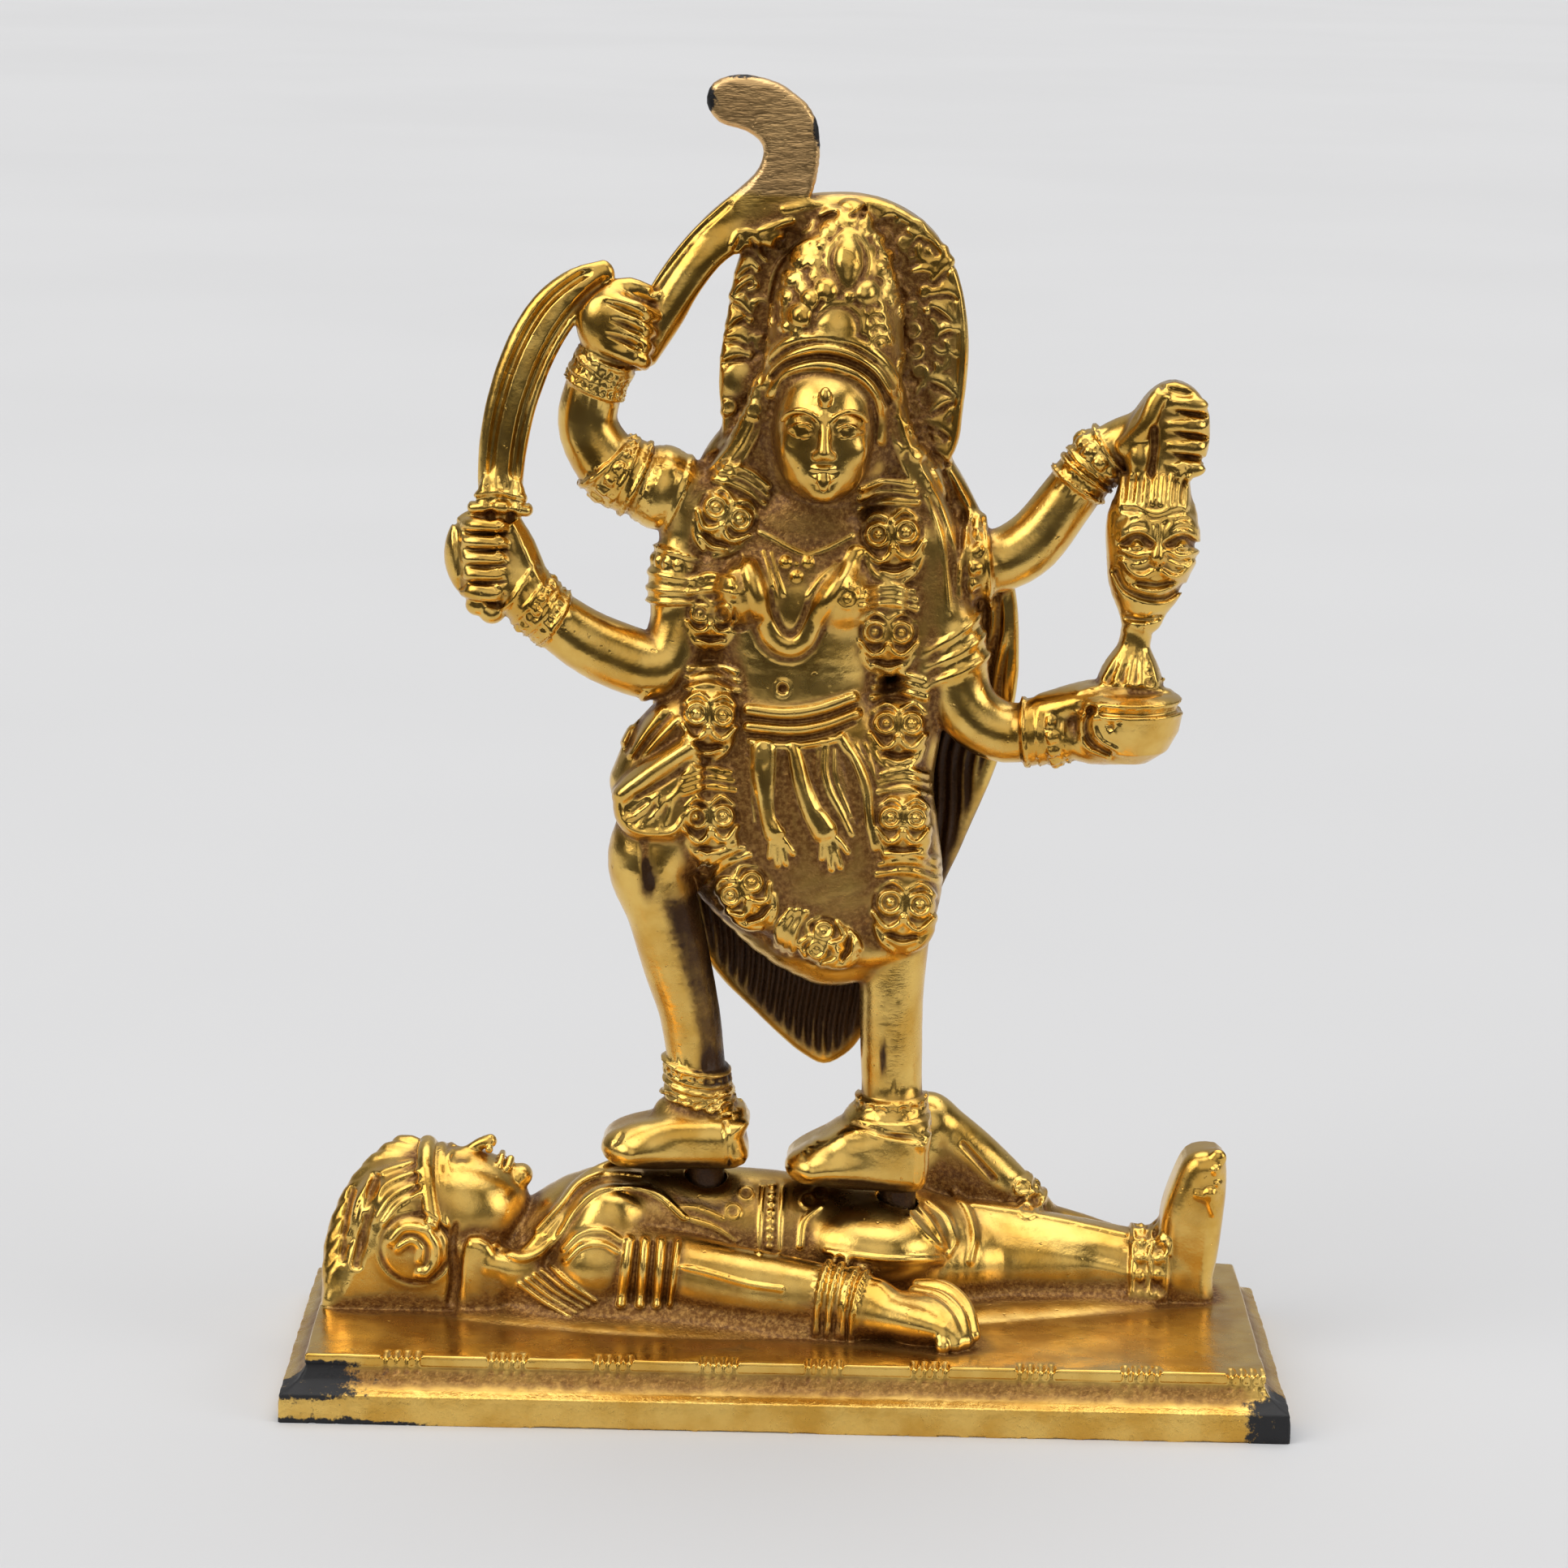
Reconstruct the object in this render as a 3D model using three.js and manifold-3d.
import * as THREE from "three";
import { mergeVertices } from "three/addons/utils/BufferGeometryUtils.js";
import Module from "manifold-3d";

const wasm = await Module();
wasm.setup();

// Driving dimensions, in millimetres
const BASE_LENGTH = 125; // along X, at the foot of the plinth
const BASE_DEPTH = 51; // along Y, at the foot of the plinth
const BASE_HEIGHT = 8; // underside to the top of the plate
const BASE_SPREAD = 3; // how far the foot stands out past the plate on every side
const FOOT_BAND = 3.4; // height of the upright band at the foot
const EDGE_BAND = 1.3; // height of the plate's upright edge
const BEAD_RADIUS = 0.55; // the small ridge between the foot band and the hollow slope
const NICK_WIDTH = 0.6; // the small cuts in the plate's front edge
const NICK_PITCH = 1.5;
const NICK_DEPTH = 0.5;
const SHIVA_MARGIN = 0.8; // bare plate left at either end of the lying figure
const KALI_HEIGHT = 140; // soles to the top of the raised sword
const PEG_RADIUS = 2.4; // the round pegs under the feet
const PEG_REACH = 8; // how far a peg reaches below the soles
const PEG_CLEARANCE = 0.3; // room round a peg and under it
const PEG_ROOT = 4.7; // how far a peg runs up into the foot above it

// Facets of the two figures
const KALI_FACETS = 6600;
const SHIVA_FACETS = 2400;
const THIN_FACET = 1e-3; // twice the area below which a facet has no clear direction, mm2
const PEG_SIDES = 12;
const LEAST_COSINE = 0.25; // of the angle that a facet may turn through at one fold
const EDGE_WEIGHT = 2e-4; // how much a long edge counts against being folded away

// The two figures are written at the height and length below, then brought to their real size.
const KALI_DRAWN = 139.5;
const SHIVA_DRAWN = 117.4;
const SOLE_DRAWN = new THREE.Vector3(1.7, 3, 24.3);
const PLATE_DRAWN = new THREE.Vector3(-0.9, 0, 8);
const PEGS_DRAWN = [[-10.6, 3], [14, 3]];

const plateLength = BASE_LENGTH - 2 * BASE_SPREAD;
const plateDepth = BASE_DEPTH - 2 * BASE_SPREAD;
const shivaScale = (plateLength - 2 * SHIVA_MARGIN) / SHIVA_DRAWN;
const kaliScale = KALI_HEIGHT / KALI_DRAWN;
const shivaPlace = new THREE.Vector3(PLATE_DRAWN.x * shivaScale, 0, BASE_HEIGHT);
const kaliPlace = new THREE.Vector3(
  SOLE_DRAWN.x,
  SOLE_DRAWN.y,
  BASE_HEIGHT + (SOLE_DRAWN.z - PLATE_DRAWN.z) * shivaScale,
);

const mix = (a, b, share) => a + (b - a) * share;

// Solids: a closed geometry turned into one that can be joined and cut, and back
function toSolid(geometry) {
  const bare = geometry.clone();
  bare.deleteAttribute("normal");
  bare.deleteAttribute("uv");
  const merged = mergeVertices(bare, 1e-4);
  const corners = merged.attributes.position;
  const triangles = new Uint32Array(merged.index.array);
  const [a, b, c] = [new THREE.Vector3(), new THREE.Vector3(), new THREE.Vector3()];
  let volume = 0;
  for (let i = 0; i < triangles.length; i += 3) {
    a.fromBufferAttribute(corners, triangles[i]);
    b.fromBufferAttribute(corners, triangles[i + 1]);
    c.fromBufferAttribute(corners, triangles[i + 2]);
    volume += a.dot(b.cross(c));
  }
  if (volume < 0) {
    for (let i = 0; i < triangles.length; i += 3) {
      const first = triangles[i];
      triangles[i] = triangles[i + 1];
      triangles[i + 1] = first;
    }
  }
  const mesh = new wasm.Mesh({ numProp: 3, vertProperties: corners.array, triVerts: triangles });
  return new wasm.Manifold(mesh);
}

function join(geometries) {
  let layer = geometries.map(toSolid);
  while (layer.length > 1) {
    const next = [];
    for (let i = 0; i < layer.length; i += 2) {
      next.push(i + 1 < layer.length ? layer[i].add(layer[i + 1]) : layer[i]);
    }
    layer = next;
  }
  return layer[0];
}

function toGeometry(solid) {
  const mesh = solid.getMesh();
  const corners = new Float32Array(mesh.numVert * 3);
  for (let i = 0; i < mesh.numVert; i += 1) {
    for (let axis = 0; axis < 3; axis += 1) {
      corners[3 * i + axis] = mesh.vertProperties[mesh.numProp * i + axis];
    }
  }
  const geometry = new THREE.BufferGeometry();
  geometry.setAttribute("position", new THREE.BufferAttribute(corners, 3));
  geometry.setIndex(new THREE.BufferAttribute(new Uint32Array(mesh.triVerts), 1));
  geometry.computeVertexNormals();
  return geometry;
}

// The outer skin of a joined figure: small hollows that its overlapping forms shut in are filled
function outerSkin(geometry) {
  const index = geometry.index.array;
  const group = Array.from({ length: geometry.attributes.position.count }, (_, i) => i);
  const root = (i) => {
    let at = i;
    while (group[at] !== at) {
      group[at] = group[group[at]];
      at = group[at];
    }
    return at;
  };
  for (let i = 0; i < index.length; i += 3) {
    group[root(index[i + 1])] = root(index[i]);
    group[root(index[i + 2])] = root(index[i]);
  }
  const sizes = new Map();
  for (let i = 0; i < index.length; i += 3) {
    sizes.set(root(index[i]), (sizes.get(root(index[i])) ?? 0) + 1);
  }
  const largest = [...sizes].reduce((best, entry) => (entry[1] > best[1] ? entry : best))[0];
  const kept = [];
  for (let i = 0; i < index.length; i += 3) {
    if (root(index[i]) === largest) {
      kept.push(index[i], index[i + 1], index[i + 2]);
    }
  }
  const skin = new THREE.BufferGeometry();
  skin.setAttribute("position", geometry.attributes.position);
  skin.setIndex(kept);
  return skin;
}

// The squared distance of a point from the planes round a corner, as the ten terms of a symmetric form
class PlaneSum {
  constructor() {
    this.terms = new Float64Array(10);
  }

  addPlane(normal, offset, weight) {
    const plane = [normal.x, normal.y, normal.z, offset];
    let term = 0;
    for (let i = 0; i < 4; i += 1) {
      for (let j = i; j < 4; j += 1) {
        this.terms[term] += plane[i] * plane[j] * weight;
        term += 1;
      }
    }
  }

  addSum(other) {
    other.terms.forEach((value, i) => {
      this.terms[i] += value;
    });
  }

  at({ x, y, z }) {
    const [xx, xy, xz, xo, yy, yz, yo, zz, zo, oo] = this.terms;
    const squares = xx * x * x + yy * y * y + zz * z * z + oo;
    return squares + 2 * (xy * x * y + xz * x * z + yz * y * z + xo * x + yo * y + zo * z);
  }
}

// Fewer facets: the edges whose removal moves the surface least are folded away, round after round,
// until the wanted number of triangles is left. An edge stays where folding it would pinch or flip.
function simplify(geometry, wanted) {
  const points = geometry.attributes.position;
  const places = [];
  for (let i = 0; i < points.count; i += 1) {
    places.push(new THREE.Vector3().fromBufferAttribute(points, i));
  }
  const facets = [];
  const around = places.map(() => new Set());
  const sums = places.map(() => new PlaneSum());
  const index = geometry.index.array;
  const faceNormal = (a, b, c) => b.clone().sub(a).cross(c.clone().sub(a));
  for (let i = 0; i < index.length; i += 3) {
    const facet = [index[i], index[i + 1], index[i + 2]];
    const [a, b, c] = facet.map((corner) => places[corner]);
    const normal = faceNormal(a, b, c);
    const area = normal.length();
    normal.normalize();
    for (const corner of facet) {
      around[corner].add(facets.length);
      sums[corner].addPlane(normal, -normal.dot(a), area);
    }
    facets.push(facet);
  }
  const neighbours = (corner) => {
    const found = new Set();
    around[corner].forEach((id) => facets[id].forEach((other) => found.add(other)));
    found.delete(corner);
    return found;
  };
  const keepsFacing = (corner, other, place) => {
    for (const id of around[corner]) {
      const facet = facets[id];
      if (!facet.includes(other)) {
        const before = faceNormal(...facet.map((i) => places[i]));
        const after = faceNormal(...facet.map((i) => (i === corner ? place : places[i])));
        const turned = before.dot(after) < LEAST_COSINE * before.length() * after.length();
        if (before.length() > THIN_FACET && (after.length() < THIN_FACET || turned)) {
          return false;
        }
      }
    }
    return true;
  };
  let left = facets.length;
  let folded = 1;
  while (left > wanted && folded > 0) {
    const edges = [];
    facets.forEach((facet) => {
      for (let i = 0; facet && i < 3; i += 1) {
        const [a, b] = [facet[i], facet[(i + 1) % 3]];
        if (a < b) {
          const middle = places[a].clone().lerp(places[b], 0.5);
          const sum = new PlaneSum();
          sum.addSum(sums[a]);
          sum.addSum(sums[b]);
          const length = places[a].distanceToSquared(places[b]) * EDGE_WEIGHT;
          const options = [places[a], places[b], middle].map((place) => [sum.at(place), place]);
          const [cost, place] = options.reduce((best, option) => (option[0] < best[0] ? option : best));
          edges.push({ a, b, cost: cost + length, place: place.clone(), sum });
        }
      }
    });
    edges.sort((first, second) => first.cost - second.cost);
    const touched = new Set();
    folded = 0;
    for (const { a, b, place, sum } of edges.slice(0, Math.ceil(edges.length / 8))) {
      if (left <= wanted || touched.has(a) || touched.has(b)) {
        continue;
      }
      const besideA = neighbours(a);
      const besideB = neighbours(b);
      const shared = [...besideA].filter((corner) => besideB.has(corner)).length;
      if (shared === 2 && keepsFacing(a, b, place) && keepsFacing(b, a, place)) {
        places[a] = place;
        sums[a] = sum;
        for (const id of [...around[b]]) {
          const facet = facets[id];
          if (facet.includes(a)) {
            facet.forEach((corner) => around[corner].delete(id));
            facets[id] = null;
            left -= 1;
          } else {
            facet[facet.indexOf(b)] = a;
            around[a].add(id);
          }
        }
        around[b].clear();
        [a, b, ...besideA, ...besideB].forEach((corner) => touched.add(corner));
        folded += 1;
      }
    }
  }
  const result = new THREE.BufferGeometry();
  result.setAttribute("position", new THREE.Float32BufferAttribute(places.flatMap((p) => p.toArray()), 3));
  result.setIndex(facets.filter((facet) => facet).flat());
  return result;
}

// A rod bent through stations [x, y, z, half width, half depth]. The depth axis of its section lies
// as near to Y as the rod's direction lets it, and its ends are rounded.
class Rod {
  constructor(stations) {
    this.path = new THREE.CatmullRomCurve3(stations.map(([x, y, z]) => new THREE.Vector3(x, y, z)));
    this.section = new THREE.CatmullRomCurve3(
      stations.map(([, , , width, depth]) => new THREE.Vector3(width, depth ?? width, 0)),
      false,
      "catmullrom",
      0.5,
    );
  }

  frame(t) {
    const along = this.path.getTangent(t);
    const depth = new THREE.Vector3(0, 1, 0).addScaledVector(along, -along.y).normalize();
    const width = new THREE.Vector3().crossVectors(along, depth);
    const size = this.section.getPoint(t);
    return { centre: this.path.getPoint(t), along, depth, width, halfWidth: size.x, halfDepth: size.y };
  }

  // A point at an angle round the rod, 0 on the depth axis, and some way out from its surface
  at(t, angle, rise = 0) {
    const f = this.frame(t);
    return f.centre
      .addScaledVector(f.width, Math.sin(angle) * (f.halfWidth + rise))
      .addScaledVector(f.depth, Math.cos(angle) * (f.halfDepth + rise));
  }

  // The point on the front of an upright rod that has this x and z, some way out from its surface
  front(x, z, rise = 0) {
    let [low, high] = [0, 1];
    const rising = this.path.getPoint(1).z > this.path.getPoint(0).z;
    for (let i = 0; i < 24; i += 1) {
      const t = (low + high) / 2;
      if (this.path.getPoint(t).z < z === rising) {
        low = t;
      } else {
        high = t;
      }
    }
    const f = this.frame((low + high) / 2);
    const across = THREE.MathUtils.clamp((x - f.centre.x) / f.halfWidth, -0.97, 0.97);
    return [x, f.centre.y - f.halfDepth * Math.sqrt(1 - across * across) - rise, z];
  }

  body(sides = 8, steps = 8, turn = 0) {
    const length = this.path.getLength();
    const start = Math.min(0.3, this.section.getPoint(0).x / length);
    const end = Math.min(0.3, this.section.getPoint(1).x / length);
    const rows = [[0, 0.45], [0.35 * start, 0.82]];
    for (let i = 0; i <= steps; i += 1) {
      rows.push([mix(start, 1 - end, i / steps), 1]);
    }
    rows.push([1 - 0.35 * end, 0.82], [1, 0.45]);
    const geometry = new THREE.CylinderGeometry(1, 1, 1, sides, rows.length - 1, false, turn);
    const points = geometry.attributes.position;
    const point = new THREE.Vector3();
    for (let i = 0; i < points.count; i += 1) {
      point.fromBufferAttribute(points, i);
      const [t, share] = rows[Math.round((point.y + 0.5) * (rows.length - 1))];
      const f = this.frame(t);
      const place = f.centre
        .addScaledVector(f.width, point.x * f.halfWidth * share)
        .addScaledVector(f.depth, point.z * f.halfDepth * share);
      points.setXYZ(i, place.x, place.y, place.z);
    }
    return geometry;
  }

  // A bracelet round the rod, standing proud of it by rise and wide along it
  band(t, rise, wide, lean = 0, sides = 12) {
    const f = this.frame(t);
    const slope = Math.tan(lean);
    const tube = 0.25;
    const geometry = new THREE.TorusGeometry(1, tube, 5, sides);
    const points = geometry.attributes.position;
    const point = new THREE.Vector3();
    for (let i = 0; i < points.count; i += 1) {
      point.fromBufferAttribute(points, i);
      const reach = Math.hypot(point.x, point.y);
      const out = ((reach - 1) / tube) * rise;
      const x = (point.x / reach) * (f.halfWidth + out);
      const y = (point.y / reach) * (f.halfDepth + out);
      const place = f.centre
        .clone()
        .addScaledVector(f.width, x)
        .addScaledVector(f.depth, y)
        .addScaledVector(f.along, (point.z / tube) * (wide / 2) + x * slope);
      points.setXYZ(i, place.x, place.y, place.z);
    }
    return geometry;
  }

  bands(places, rise, wide, lean = 0) {
    return places.map((t) => this.band(t, rise, wide, lean));
  }
}

const rod = (stations, sides, steps, turn) => new Rod(stations).body(sides, steps, turn);

function blob([x, y, z], [rx, ry, rz], turn = 0, across = 10, down = 6) {
  return new THREE.SphereGeometry(1, across, down)
    .rotateX(Math.PI / 2)
    .scale(rx, ry, rz)
    .rotateY(turn)
    .translate(x, y, z);
}

// A small eight-sided stud, for eyes, noses and beads
function stud([x, y, z], [rx, ry, rz]) {
  return new THREE.OctahedronGeometry(1, 0).scale(rx, ry, rz).translate(x, y, z);
}

// A plate cut to a smooth outline in X and Z, from yFront back to yBack
function plate(outline, yFront, yBack, bevel, points) {
  const corners = outline.map(([x, z]) => new THREE.Vector3(x, z, 0));
  const curve = new THREE.CatmullRomCurve3(corners, true);
  const edge = curve.getPoints(points).slice(0, points);
  const shape = new THREE.Shape(edge.map((p) => new THREE.Vector2(p.x, p.y)));
  return new THREE.ExtrudeGeometry(shape, {
    depth: yBack - yFront - 2 * bevel,
    bevelThickness: bevel,
    bevelSize: bevel,
    bevelOffset: -bevel,
    bevelSegments: 1,
    curveSegments: 1,
  })
    .rotateX(Math.PI / 2)
    .translate(0, yBack - bevel, 0);
}

// Kali's body
const torso = new Rod([
  [2, 3, 116, 4.6, 4.6],
  [1.4, 3.5, 110.5, 6.5, 5],
  [0.3, 4.3, 106, 13.4, 6.3],
  [0, 4, 100.5, 14, 7.4],
  [-0.5, 4, 94, 12, 7],
  [-0.8, 4, 88.5, 11.4, 6.6],
  [-1.2, 4, 82, 15, 7.6],
  [-0.6, 4, 75, 17, 8.2],
  [2.2, 4, 67, 15.8, 8],
  [5, 4, 59, 12.6, 7],
  [6.5, 3.5, 52.5, 8, 5],
]);

// A strip laid on the front of the torso through points [x, z, half width], standing out by rise
function onTorso(points, rise, depth, sides, steps) {
  return rod(points.map(([x, z, width]) => [...torso.front(x, z, rise), width, depth]), sides, steps);
}

function kaliTorso() {
  return [
    torso.body(16, 14),
    blob([-6.6, -2.4, 101.2], [4.4, 3.8, 4.2]),
    blob([5, -2.4, 100], [4.4, 3.8, 4.2]),
    blob([-13.2, 4, 110], [4.8, 4.6, 4.4]),
    blob([15, 4, 107], [4.6, 4.6, 5]),
    rod([[-12, 2, 86, 4, 5], [-17.2, 1.5, 82, 3.6, 5], [-20, 1, 76, 3.6, 4.4]], 8, 4),
  ];
}

function kaliHead() {
  const hair = [
    blob([3, 1.5, 121], [10, 5, 11.5]),
    rod([
      [-3.6, -3.5, 127.5, 1.7],
      [-6.8, -2.4, 121.4, 1.9],
      [-9.2, -1.2, 115.5, 2],
      [-13, 1, 110, 2],
    ], 6, 5),
    rod([[8.8, -3.5, 127, 1.7], [11.1, -2.4, 121.8, 1.9], [13.6, -1.2, 116, 2], [17, 1, 110.5, 2]], 6, 5),
    rod([[-5.4, -1, 127, 1.7], [-9, 0, 121, 2], [-11.2, 1.5, 115, 2.2], [-15, 3, 110, 2]], 6, 5),
    rod([[10.6, -1, 126.6, 1.7], [13, 0, 121, 2], [15.4, 1.5, 115.6, 2.2], [18, 4, 108, 2]], 6, 5),
  ];
  const face = [
    blob([2.2, -1.4, 121.4], [6.3, 6.8, 8.4], 0, 14, 10),
    rod([[2.2, -7.6, 123.6, 0.7], [2.2, -8.6, 121.2, 0.9], [2.2, -8.9, 119.8, 1.3]], 6, 2),
    rod([[-0.2, -6.1, 117.6, 0.7], [2.2, -6.9, 117.3, 1], [4.6, -6.1, 117.6, 0.7]], 6, 3),
    rod([[2.2, -6.4, 117, 1.2, 0.9], [2.2, -6, 114.4, 1, 0.8]], 6, 2),
    stud([2.2, -6.6, 126.2], [0.8, 0.9, 1.3]),
  ];
  for (const side of [-1, 1]) {
    face.push(blob([2.2 + 2.6 * side, -7, 122], [1.6, 1, 0.9], 0, 8, 4));
    face.push(
      rod([
        [2.2 + 1 * side, -7.6, 124, 0.5],
        [2.2 + 3 * side, -7.1, 124.6, 0.5],
        [2.2 + 4.8 * side, -5.6, 123.6, 0.4],
      ], 5, 3),
    );
  }
  return [...hair, ...face];
}

const dome = new Rod([
  [3.2, 0.2, 126.5, 8.9, 6.4],
  [3.6, 0.3, 132, 9.4, 6.8],
  [4, 0.8, 138, 8.4, 5.8],
  [4.6, 1.5, 143, 6, 4.4],
  [5.4, 2.4, 146.4, 2.6, 2.6],
]);

// The crown's beads on either side: distance from the middle, height and radius
const CROWN_BEADS = [
  [2.7, 139.6, 1.3],
  [4.3, 138, 1.35],
  [5.4, 135.9, 1.4],
  [5, 142, 1.2],
  [6.4, 139.8, 1.2],
];

function kaliCrown() {
  const parts = [dome.body(12, 5)];
  for (const lift of [0, 1.7, 3.3]) {
    const spread = 1 - lift * 0.02;
    const band = [
      [-6.4, 0.5, 125], [-5 * spread, -3.8, 127.6], [-1.4, -6.6, 130.6], [2.7, -7.6 + lift * 0.25, 131.6],
      [7, -6.6, 130.4], [11.2 * spread, -3.6, 126.9], [12.8, 0.5, 124.4],
    ];
    parts.push(rod(band.map(([x, y, z]) => [x, y, z + lift, 0.85]), 5, 12));
  }
  const sun = new THREE.Vector3(...dome.front(3.2, 136.2, 0.2));
  const arch = [];
  const spokes = 5;
  for (let i = 0; i <= spokes; i += 1) {
    const angle = (Math.PI * i) / spokes;
    arch.push([sun.x + 2.7 * Math.cos(angle), sun.y, sun.z + 2.9 * Math.sin(angle) - 0.6, 0.8, 1]);
  }
  parts.push(rod(arch, 5, 7), blob([sun.x, sun.y, sun.z], [1.5, 1.2, 1.5], 0, 8, 5));
  parts.push(blob(dome.front(4, 141.6, -0.2), [2.4, 1.7, 3.1], 0, 8, 6));
  const stem = [[3.8, 139.6, 1], [4, 141.6, 1.5], [4.1, 143.6, 1]];
  parts.push(rod(stem.map(([x, z, rise]) => [...dome.front(x, z, rise), 0.8]), 5, 3));
  for (const side of [-1, 1]) {
    for (const [out, z, size] of CROWN_BEADS) {
      parts.push(blob(dome.front(3.8 + side * out, z, 0.1), [size, size, size], 0, 7, 5));
    }
  }
  return parts;
}

const NIMBUS = [
  [-9.4, 116], [-10.4, 121.2], [-10.9, 127.3], [-10.2, 133.4], [-9.3, 139.5], [-7.2, 145],
  [-3.5, 148.4], [2, 149.6], [8, 149.2], [13, 147], [16.4, 143.6], [18.8, 138.5], [19.8, 131],
  [19.4, 124], [18.4, 118], [12, 112], [0, 110],
];

function kaliNimbus() {
  const parts = [plate(NIMBUS, 3.6, 8, 0.7, 34)];
  const rim = new THREE.CatmullRomCurve3(NIMBUS.slice(0, 15).map(([x, z]) => new THREE.Vector3(x, 3.6, z)));
  const middle = new THREE.Vector3(4.5, 3.6, 128);
  const curls = 17;
  for (let i = 0; i < curls; i += 1) {
    const place = rim.getPointAt((i + 0.5) / curls);
    const inward = middle.clone().sub(place).normalize();
    place.addScaledVector(inward, 2.6);
    parts.push(blob([place.x, 3.5, place.z], [1.9, 1.5, 1.9], 0, 8, 5));
  }
  return parts;
}

function kaliHair() {
  const parts = [];
  const centre = 4.6;
  const reach = 4;
  const profile = [
    [120, 8, 7.5],
    [112, 13.5, 9],
    [102, 18.4, 10.5],
    [92, 21, 11.5],
    [80, 20.6, 12],
    [68, 17, 12],
    [57, 13, 11.6],
  ];
  for (let i = -reach; i <= reach; i += 1) {
    const share = i / reach;
    const out = Math.abs(share);
    const end = 37.6 + 12.4 * out ** 1.5;
    const bow = 1.6 * share * share;
    const stations = profile.map(([z, half, y]) => [centre + share * half, y - bow, z, 3, 2.2]);
    stations.push([centre + share * mix(7, 12.4, out), 11, end, 2, 1.5]);
    parts.push(rod(stations, 6, 7, Math.PI / 6));
  }
  return parts;
}

// One head of the garland: a face with a turban of two rolls over it
function garlandHead(x, z) {
  const y = Math.min(torso.front(x, z, -1.2)[1], -2);
  const parts = [
    blob([x, y, z - 0.6], [3.6, 3.1, 3.8], 0, 10, 7),
    blob([x, y, z + 3], [3.9, 3, 1.7], 0, 8, 5),
    blob([x, y + 0.3, z + 5.4], [3.3, 2.6, 1.4], 0, 8, 5),
    stud([x, y - 2.9, z - 1], [0.8, 1, 1.5]),
    stud([x, y - 2.5, z - 2.9], [1.7, 0.9, 0.6]),
  ];
  for (const side of [-1, 1]) {
    parts.push(stud([x + 1.6 * side, y - 2.5, z + 0.3], [1, 0.9, 0.8]));
  }
  return parts;
}

const GARLAND = [
  [-10.6, 109], [-11.6, 97.3], [-11.8, 84.9], [-10, 73], [-5.6, 63], [4.4, 56],
  [11.7, 108], [10.9, 96], [12.3, 85.1], [13.6, 72.8], [13.5, 61],
];

function kaliGarland() {
  const cord = onTorso(
    [
      [-8, 113], [-11, 104], [-11.6, 91], [-11.4, 79], [-8.4, 67.6], [-1, 58.6], [9.5, 56],
      [14, 60.4], [13.4, 79], [11, 91], [11.2, 102], [12, 112],
    ].map(([x, z]) => [x, z, 2.2]),
    0,
    2.4,
    6,
    26,
  );
  return [cord, ...GARLAND.flatMap(([x, z]) => garlandHead(x, z))];
}

function kaliDress() {
  const scarf = [[-6.6, 105.4], [-5, 100], [-2.8, 95.8], [0, 93.8], [2.4, 96.4], [4.8, 101], [7, 105.6]];
  const collar = [[-8.4, 107.4], [-4.4, 104.6], [-0.6, 103.6], [4, 104.4], [9, 106.8]];
  const parts = [
    onTorso(scarf.map(([x, z]) => [x, z, 1.3]), 0.9, 1, 6, 12),
    onTorso(collar.map(([x, z]) => [x, z, 0.8]), 0.2, 1, 5, 8),
    stud(torso.front(-0.6, 103.4, 0.6), [1.4, 1.2, 1.4]),
  ];
  for (const drop of [0, 2.4]) {
    parts.push(onTorso([
      [-9.6, 85.6 - drop, 1.1],
      [-4, 84.2 - drop, 1.2],
      [3, 84.8 - drop, 1.2],
      [9, 86.6 - drop, 1.1],
    ], 0.2, 1.2, 6, 6));
  }
  const hangingArms = [
    [[-5.4, 81.6], [-4.2, 75], [-2.9, 70.4], [-1.6, 66.8]],
    [[-0.6, 81.8], [1.5, 75], [3.2, 71], [6.2, 67]],
    [[4.6, 82.6], [7.4, 77], [9.4, 70.4], [10, 66]],
    [[-8.4, 81], [-8.8, 76], [-7.4, 71], [-6.6, 68]],
  ];
  for (const arm of hangingArms) {
    const widths = [1.8, 1.5, 1.2, 1.8];
    parts.push(onTorso(arm.map(([x, z], i) => [x, z, widths[i]]), 0.7, 1.4, 6, 6));
  }
  parts.push(blob([-17.8, -2.6, 75.6], [4.4, 2.6, 3], -0.7, 8, 5));
  parts.push(rod([
    [-12.6, -3, 83.6, 1.6, 1.4],
    [-15.4, -4.4, 79.4, 2.2, 1.6],
    [-20, -4, 74.4, 2.2, 1.4],
    [-22, -2.4, 71.4, 1.2, 1],
  ], 6, 5));
  parts.push(rod([
    [-13.2, -3.2, 81, 1.2],
    [-13.4, -4.2, 76.4, 1.8],
    [-16.6, -3.6, 71.2, 1.6],
    [-19, -2.4, 69.4, 1],
  ], 6, 5));
  return parts;
}

// Kali's arms, each with its bracelets and what its hand holds
function fist([x, y, z], [rx, ry, rz], turn, fingers = 4) {
  const parts = [blob([x, y, z], [rx, ry, rz], turn, 8, 6)];
  for (let i = 0; i < fingers; i += 1) {
    const up = rz * (0.72 - (1.44 * i) / (fingers - 1));
    const half = rx * Math.sqrt(1 - (up / rz) ** 2 * 0.7);
    const place = (side, front) => [
      x + side * half * Math.cos(turn) + up * Math.sin(turn),
      y - front,
      z + up * Math.cos(turn) - side * half * Math.sin(turn),
      rz * 0.2,
      1.2,
    ];
    parts.push(rod([place(-0.85, ry * 0.35), place(0, ry * 0.98), place(0.85, ry * 0.45)], 5, 4));
  }
  return parts;
}

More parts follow.
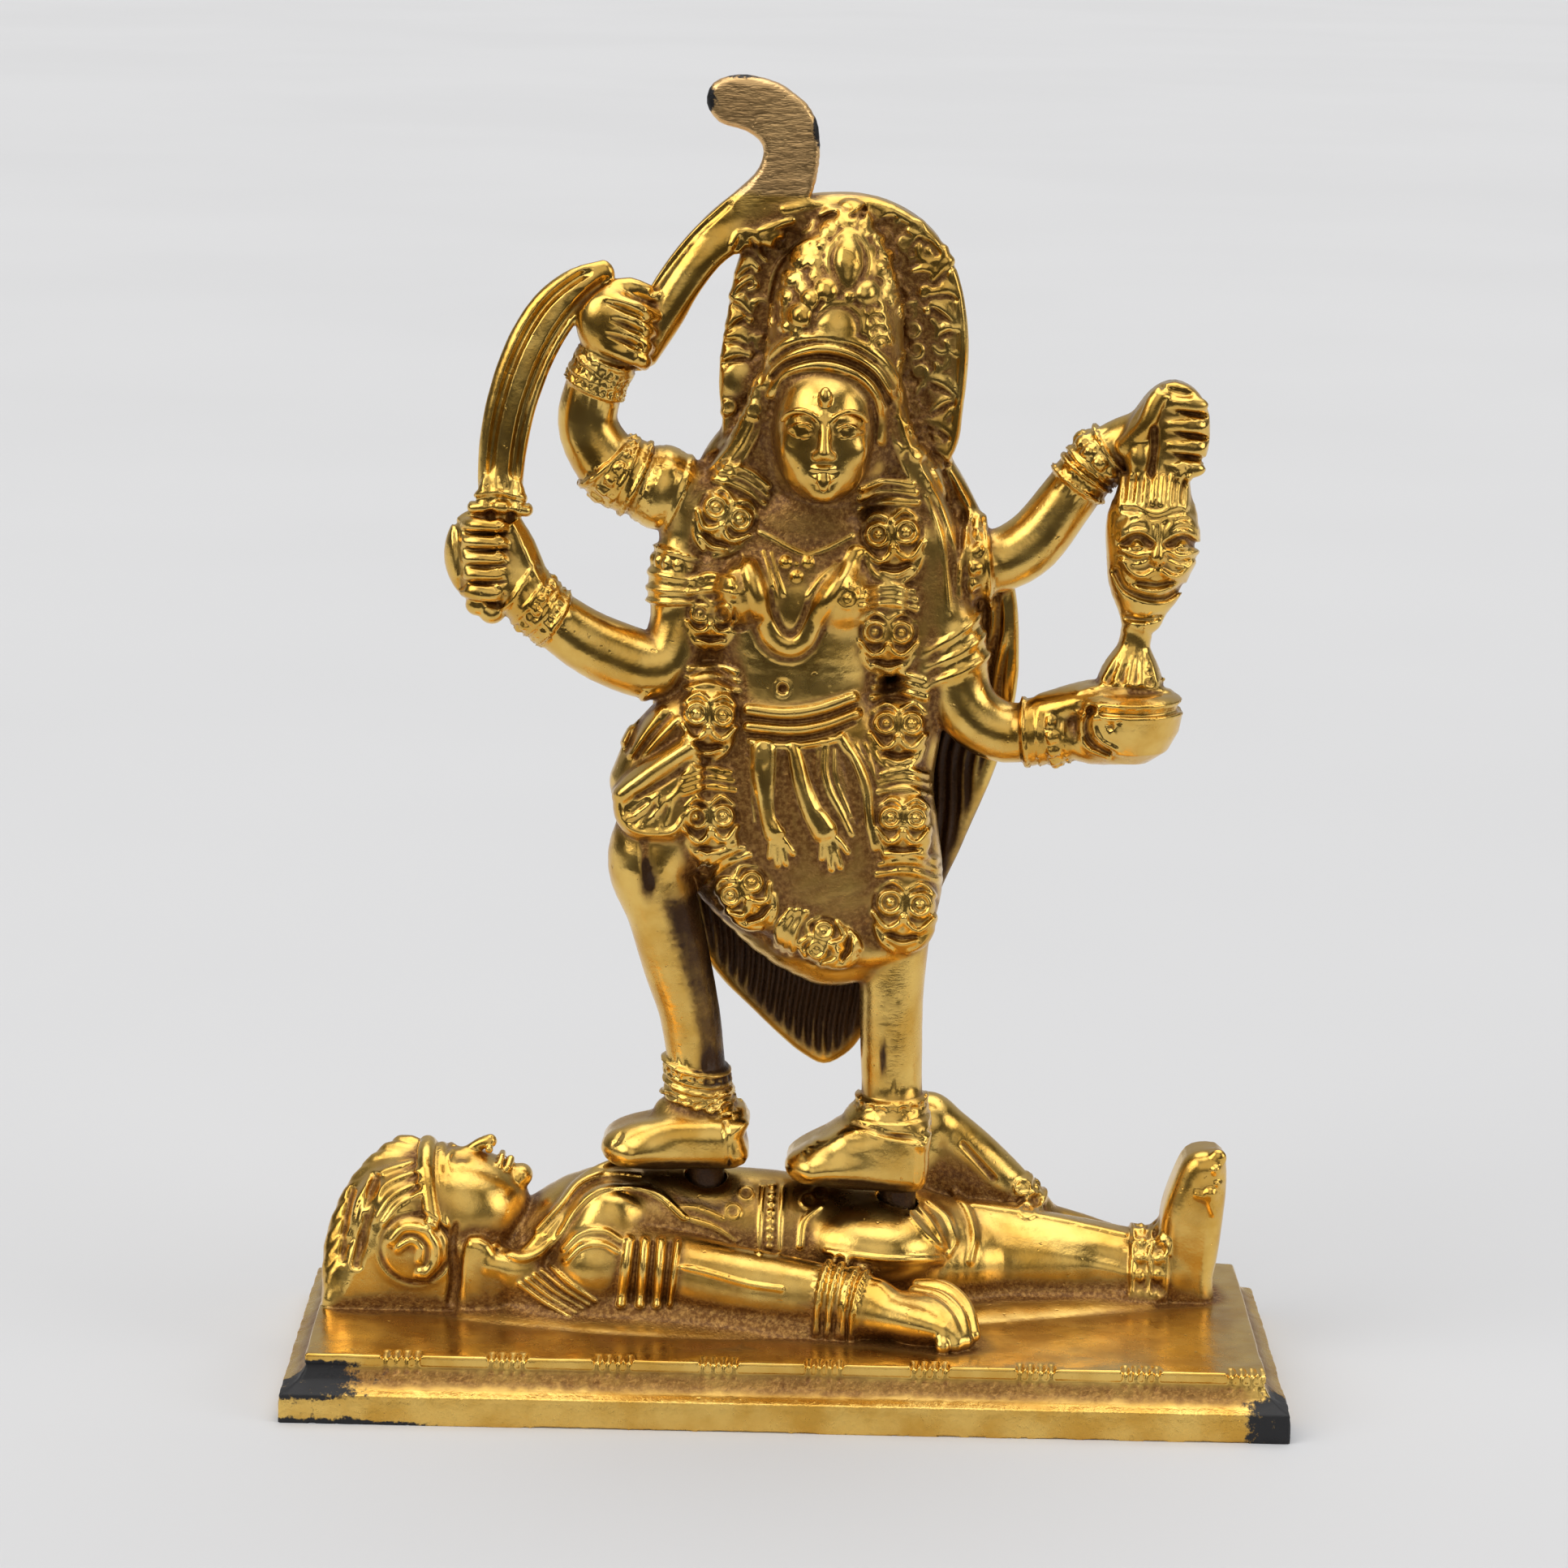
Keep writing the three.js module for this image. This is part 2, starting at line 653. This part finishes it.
function upperRightArm() {
  const arm = new Rod([
    [-11, 4.5, 109.5, 4.4],
    [-15.4, 4, 112, 4.5],
    [-20.6, 3.6, 113.6, 4.3],
    [-24.6, 3.2, 116.2, 4.1],
    [-27, 3, 121, 3.9],
    [-25.6, 2.4, 126.6, 3.5],
    [-24.4, 2, 129, 3.4],
    [-23.8, 1.8, 132, 3.2],
  ]);
  const blade = [
    [-19.8, 129.2], [-20.6, 134], [-19.2, 138.4], [-16.4, 142.6], [-12.6, 146.8], [-8.6, 150.3],
    [-6.5, 152.6], [-6.1, 155.4], [-8.2, 157.1], [-11.5, 158.1], [-13, 160.4], [-12.2, 162.8],
    [-9.2, 163.8], [-5.3, 163.3], [-1.8, 161.5], [0.3, 158.9], [1, 154.9], [0.2, 150], [-2.6, 145.8],
    [-8.6, 142.4], [-11.4, 140.6], [-13.8, 137.4], [-16, 132.6], [-17.6, 129],
  ];
  return [
    arm.body(10, 9),
    ...arm.bands([0.2, 0.32, 0.44], 0.7, 1.6),
    ...arm.bands([0.76, 0.83], 0.8, 1.9),
    ...fist([-23, 1.6, 133.8], [4.6, 4, 4.9], -0.5),
    plate(blade, 1.6, 5, 0.9, 48),
  ];
}

function lowerRightArm() {
  const arm = new Rod([
    [-13.6, 3.6, 108, 4],
    [-15, 3, 102, 3.8],
    [-15.2, 2.6, 95.5, 3.8],
    [-17.6, 2, 90.4, 4.2],
    [-24.4, 1.4, 92.4, 4],
    [-30, 0.8, 96, 3.5],
    [-34, 0.2, 99.4, 3.2],
    [-37.6, 0, 102.6, 3],
  ]);
  const blade = new Rod([
    [-37.6, 0, 109.4, 2.4, 1.6],
    [-37.4, 0, 117.4, 2.7, 1.5],
    [-36.4, 0, 123.6, 2.8, 1.4],
    [-34, 0.4, 130.4, 2.9, 1.4],
    [-31, 0.8, 135.4, 2.6, 1.3],
    [-27.6, 1.2, 138.6, 2.2, 1.2],
    [-24.2, 1.6, 139.8, 1.1, 1],
  ]);
  return [
    arm.body(10, 9),
    ...arm.bands([0.14, 0.24], 0.7, 1.8),
    ...arm.bands([0.77, 0.84], 0.9, 2),
    ...fist([-39.4, 0, 104.2], [5, 4.4, 6.1], -0.12),
    blade.body(6, 9, Math.PI / 6),
    rod([[-38.6, 0, 95.6, 1.6], [-38.8, 0, 100, 1.6]], 6, 1),
    blob([-37.6, -0.6, 110.8], [3.6, 2.4, 1.8], 0, 8, 4),
    blob([-37.5, -0.9, 114.4], [1.8, 1.8, 3.4], 0, 6, 5),
    blob([-39.8, -0.4, 112.8], [1.4, 1.6, 2.8], 0.3, 6, 4),
    blob([-35.1, -0.4, 112.8], [1.4, 1.6, 2.8], -0.3, 6, 4),
  ];
}

function heldHead() {
  const centre = [43.8, 1, 107.2];
  const parts = [
    blob(centre, [5.5, 4.6, 6.2], 0, 12, 8),
    rod([[43.6, 1, 111, 3.6, 2.6], [43.6, 1.2, 118.6, 3.2, 2.4]], 8, 2),
    rod([
      [43.2, 1, 102, 3, 2.6],
      [42.9, 1, 98.4, 2.2, 2],
      [42, 1, 95, 1.8, 1.8],
      [41.2, 0.6, 90, 4.2, 3.4],
      [41, 0.4, 88, 4.6, 3.8],
    ], 8, 7),
    rod([[43.8, -3.4, 108.6, 0.6], [43.9, -4.4, 106.6, 0.8], [43.9, -4.6, 105.6, 1.1]], 6, 2),
    rod([[41.6, -2.1, 103.8, 0.7], [43.9, -3, 104.1, 0.8], [46.2, -2.1, 103.8, 0.7]], 6, 3),
  ];
  for (const side of [-1, 1]) {
    parts.push(blob([43.8 + 2.4 * side, -2.7, 108.2], [1.5, 1, 0.9], 0, 8, 4));
    parts.push(rod([[43.8 + 1 * side, -3.3, 110, 0.5], [43.8 + 4 * side, -2, 110.4, 0.5]], 5, 2));
  }
  for (let i = -2; i <= 2; i += 1) {
    const start = [43.8 + 1.9 * i, -1.8 + 0.5 * i * i, 112, 0.8];
    parts.push(rod([start, [43.8 + 1.5 * i, -1.6 + 0.4 * i * i, 114.2, 0.8]], 5, 1));
  }
  return parts;
}

function upperLeftArm() {
  const arm = new Rod([
    [13, 5, 106.4, 4.2],
    [18.4, 5, 104.4, 3.8],
    [24, 5, 104, 3.6],
    [28.6, 5, 106.8, 3.6],
    [33, 4.6, 112.6, 3.3],
    [36.6, 4.2, 117.6, 3],
    [39.6, 3.6, 120, 3],
    [43, 2.4, 121.4, 3],
  ]);
  const palm = [44.6, 1.4, 121.4];
  const parts = [
    arm.body(10, 9),
    arm.band(0.24, 1, 2.6),
    ...arm.bands([0.72, 0.79], 0.9, 1.9),
    blob(palm, [5, 3.8, 5.2], 0.4, 8, 6),
    rod([[40, 0.4, 119.6, 2, 1.8], [42.4, -1.2, 123.6, 1.6], [44.4, -1, 126, 1.2]], 6, 3),
  ];
  for (let i = 0; i < 4; i += 1) {
    const z = 125 - 2.5 * i;
    const out = 0.5 * (i - 1.4) ** 2;
    parts.push(rod([
      [42.8, -0.6, z + 0.6, 1.2, 1.1],
      [46.4, -2.2, z + 0.2, 1.2, 1.2],
      [49.2 - out, -0.4, z - 0.3, 1.1],
    ], 5, 3));
  }
  return parts;
}

function lowerLeftArm() {
  const arm = new Rod([
    [15.4, 4, 106, 4.2],
    [17, 3.6, 100.5, 4.1],
    [19, 3.2, 94, 4],
    [20.4, 3, 87, 4],
    [24.6, 2.6, 83.4, 3.9],
    [30, 2, 83.1, 3.4],
    [35, 1, 83.6, 3.2],
  ]);
  const rim = 6.8;
  const cup = [[0, 0], [3, 0.7], [5.3, 2.6], [6.4, 5], [rim, 7.6], [6.3, 8.3]];
  const filling = [[5.7, 7.7], [5, 8.3], [3, 8.9], [0, 9.1]];
  const bowl = new THREE.LatheGeometry([...cup, ...filling].map(([x, y]) => new THREE.Vector2(x, y)), 14)
    .rotateX(Math.PI / 2)
    .translate(40.5, 0, 79.8);
  const parts = [
    arm.body(10, 9),
    ...arm.bands([0.28, 0.37, 0.46], 0.8, 1.7),
    ...arm.bands([0.83, 0.91], 0.9, 2),
    bowl,
    rod([[33, 0.8, 83.4, 2.8], [38, 0.4, 82, 2.6, 4.4], [44, 0.4, 82.6, 1.6, 4]], 8, 3),
  ];
  return parts;
}

function kaliLegs() {
  const right = new Rod([
    [-9.6, 4, 78, 7, 7],
    [-15.4, 1.6, 71, 6.6, 6.2],
    [-18.4, 0, 66, 5.2, 5.4],
    [-16.6, 0.4, 60, 4.6, 4.8],
    [-14.8, 1.4, 53, 4.4, 4.6],
    [-13, 2.2, 46, 3.9, 4],
    [-11.6, 3, 38, 3.5, 3.6],
    [-11.2, 3.4, 33, 3.6, 3.8],
  ]);
  const left = new Rod([
    [10.4, 4, 72, 7, 7],
    [13, 4, 64, 5.6, 6],
    [13, 4, 57, 4.5, 4.8],
    [12.5, 4, 49, 4.2, 4.4],
    [12.6, 4, 42, 3.9, 4],
    [12.9, 4, 36, 3.8, 3.9],
    [13, 4, 31.4, 4, 4],
  ]);
  const feet = [
    rod([
      [-6.6, 4.6, 28.2, 3.2, 3.4],
      [-11.6, 3, 29.4, 4, 4],
      [-17.6, 0.8, 29.6, 3.1, 3.8],
      [-22.6, -1, 29.2, 1.9, 3.2],
    ], 8, 5),
    rod([
      [16.4, 5.2, 27, 3.6, 3.4],
      [11.8, 3.4, 27.6, 4.2, 4.2],
      [6.4, 0.4, 27.2, 3, 3.9],
      [1.6, -2, 26.2, 1.8, 3.2],
    ], 8, 5),
    blob([-5.4, 4.4, 26.6], [1.6, 1.8, 1.6], 0, 6, 4),
  ];
  return [
    right.body(10, 10),
    ...right.bands([0.87, 0.93], 1.1, 2.2, -0.25),
    left.body(10, 9),
    ...left.bands([0.88, 0.95], 1.3, 2.2),
    ...feet,
  ];
}

// The lying figure, its head towards -X and its face up
function shivaBody() {
  const trunk = rod(
    [
      [-35, 4.5, 14, 5, 6],
      [-30, 4.5, 14.5, 6.6, 9],
      [-23, 4.5, 15, 9.6, 10.4],
      [-14, 4.8, 15, 9.4, 9.6],
      [-4, 5.4, 14.4, 8.8, 8.6],
      [6, 6.2, 13.8, 8.4, 9],
      [14, 7.4, 13.6, 8, 10],
      [22, 9, 13, 6, 8.6],
    ],
    14,
    11,
  );
  const nearLeg = new Rod([
    [14, 6, 14, 6, 5.6],
    [24, 8.4, 13, 5.2, 5.2],
    [35, 9, 12.4, 4.9, 4.8],
    [43, 9, 12, 4.4, 4.6],
    [50, 9, 11.8, 4, 4.4],
  ]);
  const farThigh = new Rod([[10, 13, 14, 6, 5], [15, 15.6, 22, 5, 4.6], [20, 16.4, 29, 4.2, 4]]);
  const farShin = new Rod([
    [19.4, 16.6, 29.6, 3.6, 3.6],
    [25, 16.2, 24.4, 3.6, 3.6],
    [31, 16, 18.6, 3, 3.2],
    [33.4, 16.4, 14.6, 3, 3.2],
  ]);
  const nearArm = new Rod([
    [-24.6, -3, 15.6, 5.4, 5.2],
    [-17, -4.2, 14.6, 4.9, 4.6],
    [-9, -6.4, 13.2, 4.5, 4],
    [-1, -8.4, 12.2, 4, 3.6],
    [6, -9.8, 11.8, 3.5, 3.3],
    [11, -11, 11.4, 3.2, 3.2],
  ]);
  const farArm = new Rod([
    [-24.6, 13, 15, 5, 4.6],
    [-14, 15.4, 13, 4.6, 4.2],
    [-2, 17.2, 11.6, 3.8, 3.6],
    [6, 17.6, 10.6, 2.8, 3],
  ]);
  const parts = [
    trunk,
    nearLeg.body(10, 5),
    ...nearLeg.bands([0.86, 0.92, 0.98], 0.9, 1.6),
    farThigh.body(8, 4),
    farShin.body(8, 4),
    ...farShin.bands([0.62, 0.7], 0.8, 1.6),
    rod([[31.4, 17, 14, 4, 3.4], [38, 17.4, 12.4, 3.6, 3.6], [45.4, 17.6, 11, 2.6, 3]], 8, 3),
    nearArm.body(10, 8),
    ...nearArm.bands([0.17, 0.25, 0.34], 0.7, 1.7),
    ...nearArm.bands([0.8, 0.88, 0.96], 0.6, 1.5),
    farArm.body(8, 5),
    rod([[4, 17.4, 10.4, 2.6, 3.2], [10, 17.8, 9.6, 1.8, 3.4], [16, 18, 9.2, 1.4, 3]], 8, 2),
    rod([[10, -11, 11, 3, 3.4], [14, -11.8, 10.8, 2.8, 4], [19, -13.2, 10, 1.9, 4.2]], 8, 3),
    rod([[52.6, 9, 10, 3, 3.8], [53.6, 9, 16, 3.4, 4.2], [55, 9, 22, 2.8, 4], [56, 9, 26.4, 1.6, 3]], 8, 4),
    blob([55.6, 5.4, 9.4], [2.1, 3.4, 2.2], 0, 6, 4),
  ];
  for (let i = 0; i < 4; i += 1) {
    const y = -16.4 + 2.1 * i;
    parts.push(rod([
      [17, y + 1.4, 10.8, 1.1],
      [20.6, y + 0.4, 10, 1.1],
      [23.4 - 0.5 * i, y, 9.2, 0.9],
    ], 5, 2));
    parts.push(stud([57, 6.4 + 1.8 * i, 25.6 - 0.4 * i], [1, 1, 1.6]));
  }
  return parts;
}

function shivaHead() {
  const parts = [
    blob([-42.2, 3.6, 19.4], [9.2, 8, 7.8], 0.1, 12, 8),
    blob([-49.6, 4, 16.8], [8, 9.4, 9.4], 0, 10, 8),
    rod([[-38, 3.6, 14, 5, 5.4], [-32, 4, 14.4, 5, 6]], 8, 2),
    rod([
      [-45, -4.6, 19.6, 1.2, 1.4],
      [-46.4, -1, 25, 1.2, 1.4],
      [-46.6, 4, 27, 1.2, 1.4],
      [-46, 9, 24.6, 1.2, 1.4],
    ], 6, 6),
    rod([[-37.8, 3.4, 26, 1], [-38.6, 3.4, 27.6, 1.2], [-41.4, 3.4, 27.2, 0.8]], 6, 3),
    blob([-34.6, 3.4, 24], [1.2, 2.4, 1.4], 0, 6, 4),
    blob([-41.6, 0.2, 25.4], [1.2, 1.6, 1], 0, 6, 4),
    blob([-41.6, 6.6, 25.4], [1.2, 1.6, 1], 0, 6, 4),
    new THREE.TorusGeometry(3.6, 1.3, 6, 14).rotateX(Math.PI / 2).translate(-48, -3.2, 13.4),
    blob([-48, -2.4, 13.4], [3, 2, 3], 0, 8, 5),
  ];
  const locks = 6;
  for (let i = 0; i < locks; i += 1) {
    const turn = mix(-0.2, 1.25, i / (locks - 1));
    const far = [-49.2 - 7.6 * Math.cos(turn), mix(-2, 6, i / locks), 16 + 9.6 * Math.sin(turn)];
    const end = [far[0] - 1.4, -3.4 + 0.8 * i, 9 + 0.3 * i];
    parts.push(rod([[-47.4, -3 + 1.2 * i, 22 + 0.8 * i, 1.4], [...far, 1.8], [...end, 1.3]], 6, 5));
  }
  return parts;
}

function shivaDress() {
  const snake = new Rod([
    [-40.6, -4.4, 16.6, 1.6],
    [-37.6, -5.4, 14, 1.7],
    [-33.4, -4.6, 14.6, 1.7],
    [-29.4, -2, 19.4, 1.6],
    [-25.6, 2.4, 23.4, 1.5],
    [-21, 6, 24.8, 1.3],
  ]);
  const parts = [
    snake.body(6, 9),
    blob([-37.4, -4.6, 11], [4, 3, 3.6], 0, 8, 5),
    rod([[-3, -4.4, 14, 1, 1], [-2.8, -2, 20, 1, 1], [-3, 5, 22.6, 1, 1], [-3, 12, 20, 1, 1]], 6, 6),
    blob([11, 4.4, 16.4], [10.6, 10.4, 6], 0.04, 12, 7),
    rod([[3, -4.4, 14.4, 1.2], [9, -5.8, 18.6, 1.2], [16, -4, 20.4, 1.3], [22, 1.4, 20.4, 1.2]], 6, 5),
    rod([[4.6, -4.6, 11.4, 1.2], [12, -5.8, 15, 1.2], [20, -2.4, 17, 1.2]], 6, 4),
  ];
  const strands = 6;
  for (let i = 0; i < strands; i += 1) {
    const foot = [-33.4 + 1.9 * i, -6.6 - 0.3 * i, 9.4 - 0.1 * i, 0.9];
    parts.push(rod([[-29.4 + 0.9 * i, -3.8, 15.8, 0.8], foot], 5, 1));
  }
  return parts;
}

// The plinth: a moulded rectangle with square corners, its profile run round all four sides
function plinthBody() {
  const corner = Math.SQRT2;
  const steps = 5;
  const outline = [new THREE.Vector2(0, 0), new THREE.Vector2(BASE_DEPTH / 2, 0)];
  outline.push(new THREE.Vector2(BASE_DEPTH / 2, FOOT_BAND - BEAD_RADIUS));
  outline.push(new THREE.Vector2(BASE_DEPTH / 2 - BEAD_RADIUS * 0.4, FOOT_BAND + BEAD_RADIUS * 0.7));
  outline.push(new THREE.Vector2(BASE_DEPTH / 2 - BEAD_RADIUS * 1.6, FOOT_BAND + BEAD_RADIUS * 0.7));
  const low = FOOT_BAND;
  const high = BASE_HEIGHT - EDGE_BAND;
  for (let i = 0; i <= steps; i += 1) {
    const angle = (i / steps) * (Math.PI / 2);
    const inset = mix(BEAD_RADIUS * 1.6, BASE_SPREAD + 0.3, Math.sin(angle));
    outline.push(new THREE.Vector2(BASE_DEPTH / 2 - inset, mix(low, high, 1 - Math.cos(angle))));
  }
  outline.push(new THREE.Vector2(plateDepth / 2, high));
  outline.push(new THREE.Vector2(plateDepth / 2, BASE_HEIGHT));
  outline.push(new THREE.Vector2(0, BASE_HEIGHT));
  const scaled = outline.map((p) => new THREE.Vector2(p.x * corner, p.y));
  const geometry = new THREE.LatheGeometry(scaled, 4).rotateX(Math.PI / 2).rotateZ(Math.PI / 4);
  const points = geometry.attributes.position;
  for (let i = 0; i < points.count; i += 1) {
    const x = points.getX(i);
    if (Math.abs(x) > 1e-3) {
      points.setX(i, x + (Math.sign(x) * (BASE_LENGTH - BASE_DEPTH)) / 2);
    }
  }
  return geometry;
}

function nicks() {
  const cuts = [];
  const groups = 9;
  for (let i = 0; i < groups; i += 1) {
    const middle = plateLength * (-0.4 + (0.88 * i) / (groups - 1));
    for (let j = -1; j <= 1; j += 1) {
      const nick = new THREE.BoxGeometry(NICK_WIDTH, 2 * NICK_DEPTH, EDGE_BAND * 1.4);
      nick.rotateX(-Math.PI / 4).translate(middle + j * NICK_PITCH, -plateDepth / 2, BASE_HEIGHT);
      cuts.push(nick);
    }
  }
  return cuts;
}

// Assembly of the two castings
function buildKali() {
  const figure = join([
    ...kaliTorso(),
    ...kaliHead(),
    ...kaliCrown(),
    ...kaliNimbus(),
    ...kaliHair(),
    ...kaliGarland(),
    ...kaliDress(),
    ...upperRightArm(),
    ...lowerRightArm(),
    ...heldHead(),
    ...upperLeftArm(),
    ...lowerLeftArm(),
    ...kaliLegs(),
  ]);
  const placed = simplify(outerSkin(toGeometry(figure)), KALI_FACETS)
    .translate(-SOLE_DRAWN.x, -SOLE_DRAWN.y, -SOLE_DRAWN.z)
    .scale(kaliScale, kaliScale, kaliScale)
    .translate(kaliPlace.x, kaliPlace.y, kaliPlace.z);
  const pegs = pegPlaces().map(([x, y]) => {
    const peg = new THREE.CylinderGeometry(PEG_RADIUS, PEG_RADIUS, PEG_REACH + PEG_ROOT, PEG_SIDES);
    return peg.rotateX(Math.PI / 2).translate(x, y, kaliPlace.z + (PEG_ROOT - PEG_REACH) / 2);
  });
  return toGeometry(join([placed, ...pegs]));
}

function pegPlaces() {
  return PEGS_DRAWN.map(([x, y]) => [
    kaliPlace.x + (x - SOLE_DRAWN.x) * kaliScale,
    kaliPlace.y + (y - SOLE_DRAWN.y) * kaliScale,
  ]);
}

function buildBase() {
  const forms = join([...shivaBody(), ...shivaHead(), ...shivaDress()]);
  const figure = simplify(outerSkin(toGeometry(forms)), SHIVA_FACETS)
    .translate(-PLATE_DRAWN.x, -PLATE_DRAWN.y, -PLATE_DRAWN.z)
    .scale(shivaScale, shivaScale, shivaScale)
    .translate(shivaPlace.x, shivaPlace.y, shivaPlace.z);
  const below = new THREE.BoxGeometry(2 * BASE_LENGTH, 2 * BASE_DEPTH, 2 * BASE_HEIGHT);
  const resting = toSolid(figure).subtract(toSolid(below.translate(0, 0, -BASE_HEIGHT / 2)));
  const plinth = toSolid(plinthBody()).subtract(join(nicks()));
  const radius = PEG_RADIUS + PEG_CLEARANCE;
  const floor = kaliPlace.z - PEG_REACH - PEG_CLEARANCE;
  const sockets = pegPlaces().map(([x, y]) => {
    return new THREE.CylinderGeometry(radius, radius, KALI_HEIGHT, PEG_SIDES)
      .rotateX(Math.PI / 2)
      .translate(x, y, floor + KALI_HEIGHT / 2);
  });
  return toGeometry(plinth.add(resting).subtract(join(sockets)));
}

const brass = new THREE.MeshStandardMaterial({ color: 0xb98a35, roughness: 0.32, metalness: 1 });
const plinthBrass = new THREE.MeshStandardMaterial({ color: 0xb5852f, roughness: 0.36, metalness: 1 });

const kali = new THREE.Mesh(buildKali(), brass);
kali.name = "kali";
const base = new THREE.Mesh(buildBase(), plinthBrass);
base.name = "base";

const model = new THREE.Group();
model.add(kali, base);

export default model;
